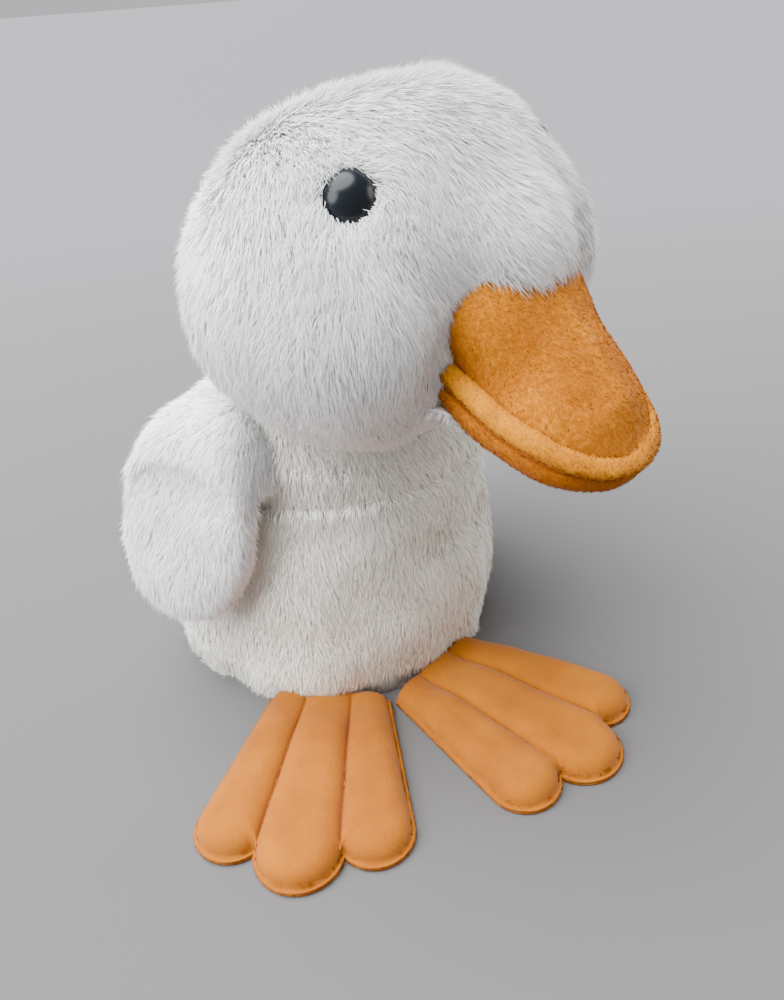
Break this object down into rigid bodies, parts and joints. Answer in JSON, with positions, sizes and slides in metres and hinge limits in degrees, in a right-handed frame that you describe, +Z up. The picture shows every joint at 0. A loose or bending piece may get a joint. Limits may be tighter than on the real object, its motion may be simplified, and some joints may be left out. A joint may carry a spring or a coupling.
{
  "type": "duck hand puppet",
  "caption": "Standing white duck hand puppet with a round stuffed head, an opening plush bill, padded wings and padded webbed feet, hollow for a hand",
  "frame": {"origin": "bottom centre of the box round the whole puppet, on the surface it stands on; the plane of symmetry of the head, bill and wings is x = 19.23 mm", "axes": "+Z up, -Y is where the closed bill points, +X is the duck's left side"},
  "size_m": [0.2326, 0.2324, 0.2329],
  "materials": {
    "body_fur": "short white fur with a combed pile",
    "head_fur": "long white fur with a combed pile",
    "wing_fur": "white fur",
    "hem_facing": "white fur turned in at the hem",
    "lining": "smooth woven lining",
    "stuffing": "loose polyester fibre",
    "bill_plush": "short-pile orange-yellow plush",
    "bill_rim_plush": "short-pile yellow plush, rolled edge",
    "lower_bill_plush": "short-pile orange plush",
    "mouth_lining": "flat orange cloth",
    "stiffener": "flexible board",
    "eye": "polished black",
    "washer": "moulded, matt",
    "foot_plush": "short-pile orange plush",
    "foot_sole": "short-pile orange plush, flat",
    "thread": "dark orange sewing thread"
  },
  "bodies": {
    "sleeve": {"body_fur": "body_fur", "body_lining": "lining", "hem_band": "hem_facing"},
    "neck": {"neck_fur": "head_fur", "neck_lining": "lining"},
    "head": {"head_fur": "head_fur", "head_stuffing": "stuffing", "hand_lining": "lining", "upper_bill_cover": "bill_plush", "upper_bill_rim": "bill_rim_plush", "upper_bill_fill": "stuffing", "upper_bill_board": "stiffener", "upper_mouth_lining": "mouth_lining", "finger_pocket": "lining", "eye_right": "eye", "eye_left": "eye", "eye_washer_right": "washer", "eye_washer_left": "washer"},
    "jaw": {"lower_bill_cover": "lower_bill_plush", "lower_bill_fill": "stuffing", "lower_bill_board": "stiffener", "lower_mouth_lining": "mouth_lining", "thumb_pocket": "lining", "chin_fur": "head_fur"},
    "wing_right": {"wing_right_fur": "wing_fur", "wing_right_fill": "stuffing"},
    "wing_left": {"wing_left_fur": "wing_fur", "wing_left_fill": "stuffing"},
    "foot_right": {"foot_right_top": "foot_plush", "foot_right_sole": "foot_sole", "foot_right_fill": "stuffing", "foot_right_stitching": "thread"},
    "foot_left": {"foot_left_top": "foot_plush", "foot_left_sole": "foot_sole", "foot_left_fill": "stuffing", "foot_left_stitching": "thread"}
  },
  "joints": [
    {"name": "head_turn", "type": "hinge", "parent": "sleeve", "child": "neck", "pos_m": [0.01923, 0.01352, 0.132], "axis": [0, 0, 1], "range_deg": [-18, 18], "deforming": ["neck_fur", "neck_lining"]},
    {"name": "head_nod", "type": "hinge", "parent": "neck", "child": "head", "pos_m": [0.01923, 0.01352, 0.132], "axis": [1, 0, 0], "range_deg": [-20, 10]},
    {"name": "jaw_open", "type": "hinge", "parent": "head", "child": "jaw", "pos_m": [0.01923, -0.04648, 0.151], "axis": [1, 0, 0], "range_deg": [0, 35], "deforming": ["chin_fur"]},
    {"name": "wing_right_raise", "type": "hinge", "parent": "sleeve", "child": "wing_right", "pos_m": [-0.04727, 0.03752, 0.117], "axis": [-0.2056, 0.9781, 0.0307], "range_deg": [0, 40]},
    {"name": "wing_left_raise", "type": "hinge", "parent": "sleeve", "child": "wing_left", "pos_m": [0.08573, 0.03752, 0.117], "axis": [-0.2056, -0.9781, -0.0307], "range_deg": [0, 40]},
    {"name": "foot_right_fold", "type": "hinge", "parent": "sleeve", "child": "foot_right", "pos_m": [-0.03854, -0.00921, 0.0013], "axis": [-0.5807, 0.8141, 0], "range_deg": [-40, 28]},
    {"name": "foot_left_fold", "type": "hinge", "parent": "sleeve", "child": "foot_left", "pos_m": [0.0055, -0.03413, 0.0013], "axis": [-0.9969, 0.0785, 0], "range_deg": [-40, 28]}
  ]
}
